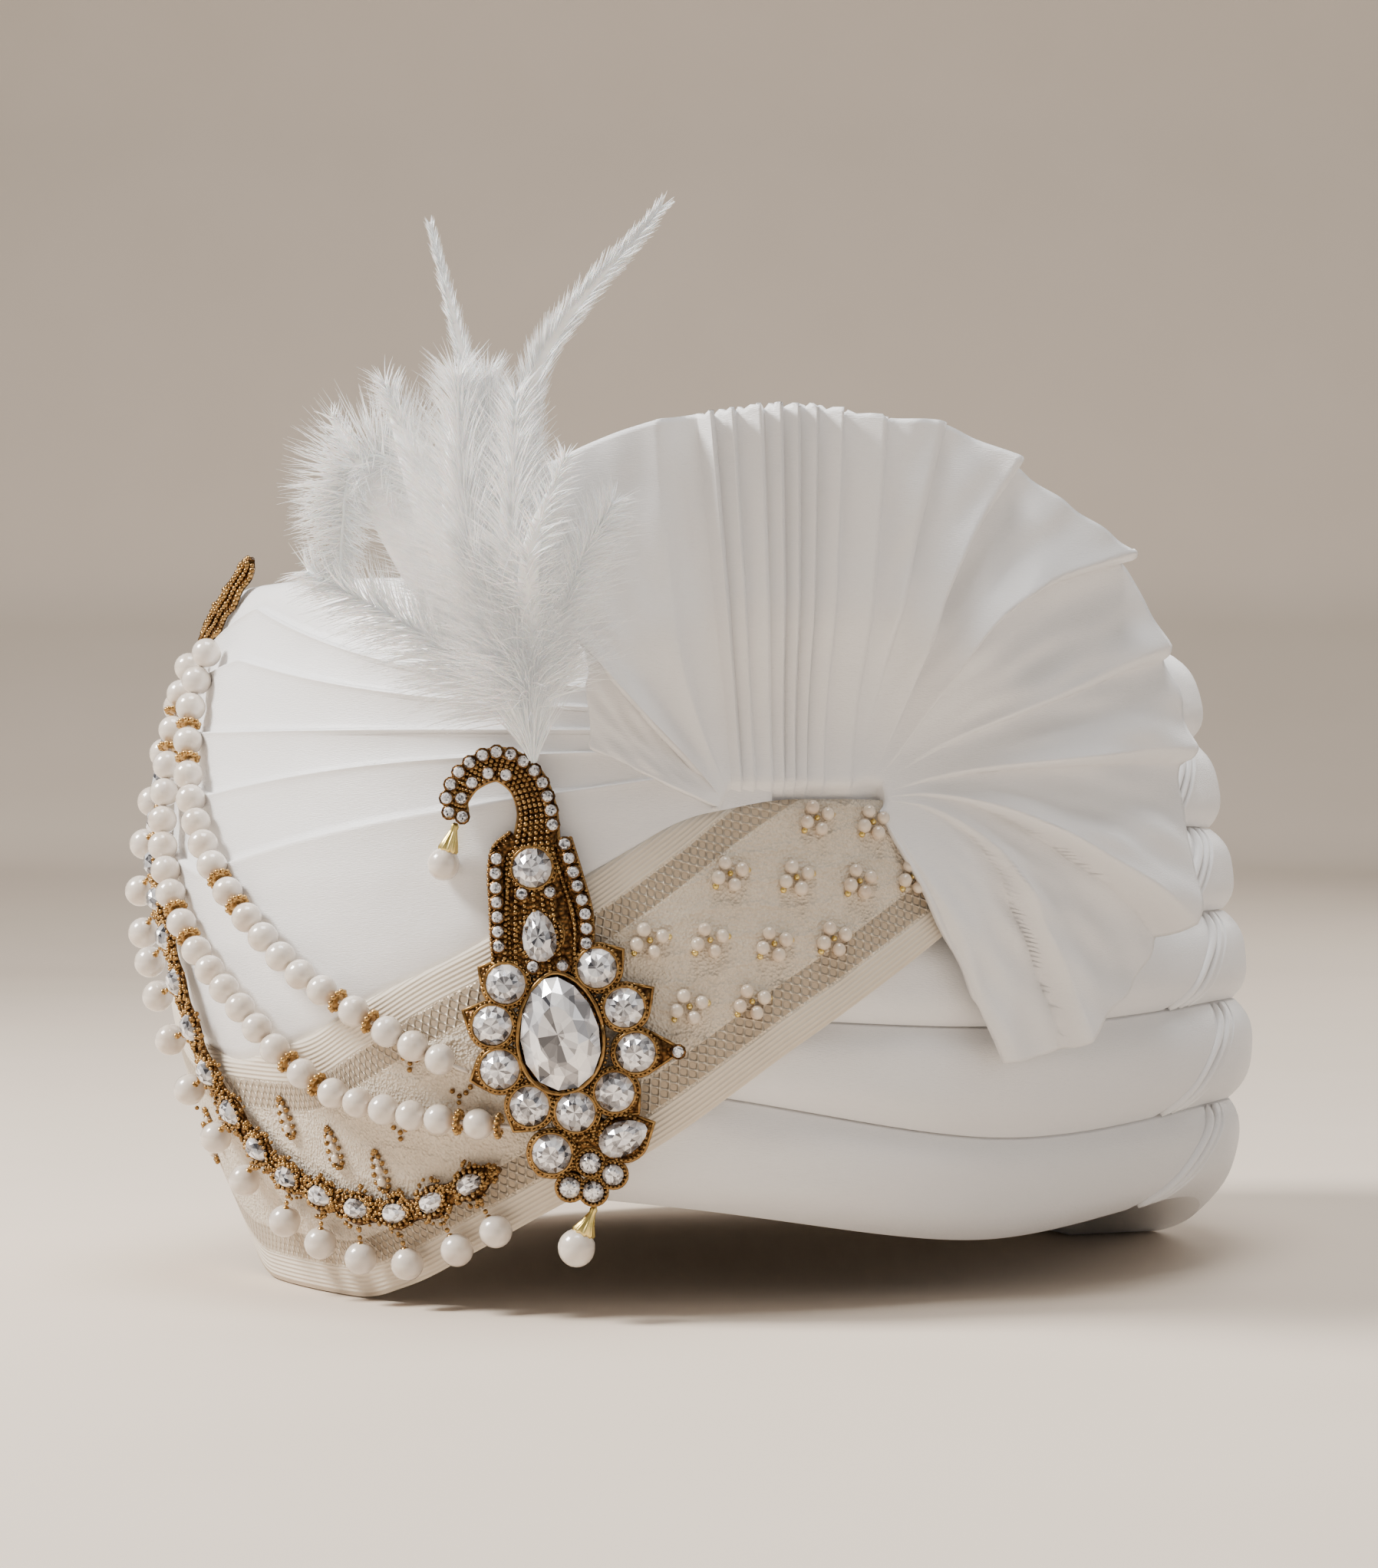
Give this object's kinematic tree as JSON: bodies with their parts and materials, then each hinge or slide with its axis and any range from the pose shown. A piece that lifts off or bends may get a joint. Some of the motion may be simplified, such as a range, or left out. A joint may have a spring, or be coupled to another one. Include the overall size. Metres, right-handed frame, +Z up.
{
  "type": "tied turban",
  "caption": "Ready-tied satin turban with wound rolls, pleated front and fan, lace band, jewelled brooch with plume, pearl strings and stone garland.",
  "frame": {"origin": "under the middle of the whole turban, on the surface it rests on", "axes": "+Z up; the wearer looks along -Y; the wearer's left, with the fan and the brooch, is +X"},
  "size_m": [0.2518, 0.311, 0.2584],
  "materials": {
    "satin": "ivory white satin with a soft sheen",
    "lace": "cream lace with metal thread",
    "cap": "plain cotton cap",
    "gold": "antique brown gold, granulated",
    "stone": "clear cut stone with a bright back",
    "pearl": "ivory pearl",
    "feather": "white down and hackle feathers"
  },
  "bodies": {
    "root": {"crown": "cap", "left_roll_1": "satin", "left_roll_2": "satin", "left_roll_3": "satin", "left_roll_4": "satin", "left_roll_5": "satin", "left_roll_6": "satin", "right_roll_1": "satin", "right_roll_2": "satin", "right_roll_3": "satin", "right_roll_4": "satin", "right_roll_5": "satin", "right_roll_6": "satin", "back_roll_1": "satin", "back_roll_2": "satin", "back_roll_3": "satin", "back_roll_4": "satin", "back_roll_5": "satin", "back_roll_6": "satin", "front_pleats": "satin", "lace_band": "lace", "fan": "satin", "brooch_frame": "gold", "brooch_main_stone": "stone", "brooch_stone_1": "stone", "brooch_stone_2": "stone", "brooch_stone_3": "stone", "brooch_stone_4": "stone", "brooch_stone_5": "stone", "brooch_stone_6": "stone", "brooch_stone_7": "stone", "brooch_stone_8": "stone", "brooch_stone_9": "stone", "brooch_stone_10": "stone", "brooch_stone_11": "stone", "brooch_stone_12": "stone", "brooch_stone_13": "stone", "brooch_stone_14": "stone", "brooch_stone_15": "stone", "brooch_stone_16": "stone", "brooch_stone_17": "stone", "brooch_hook_drop": "pearl", "brooch_lower_drop": "pearl", "plume": "feather", "pearl_strand_upper": "pearl", "pearl_strand_lower": "pearl", "stone_garland": "gold", "strand_connector": "gold"}
  },
  "joints": []
}
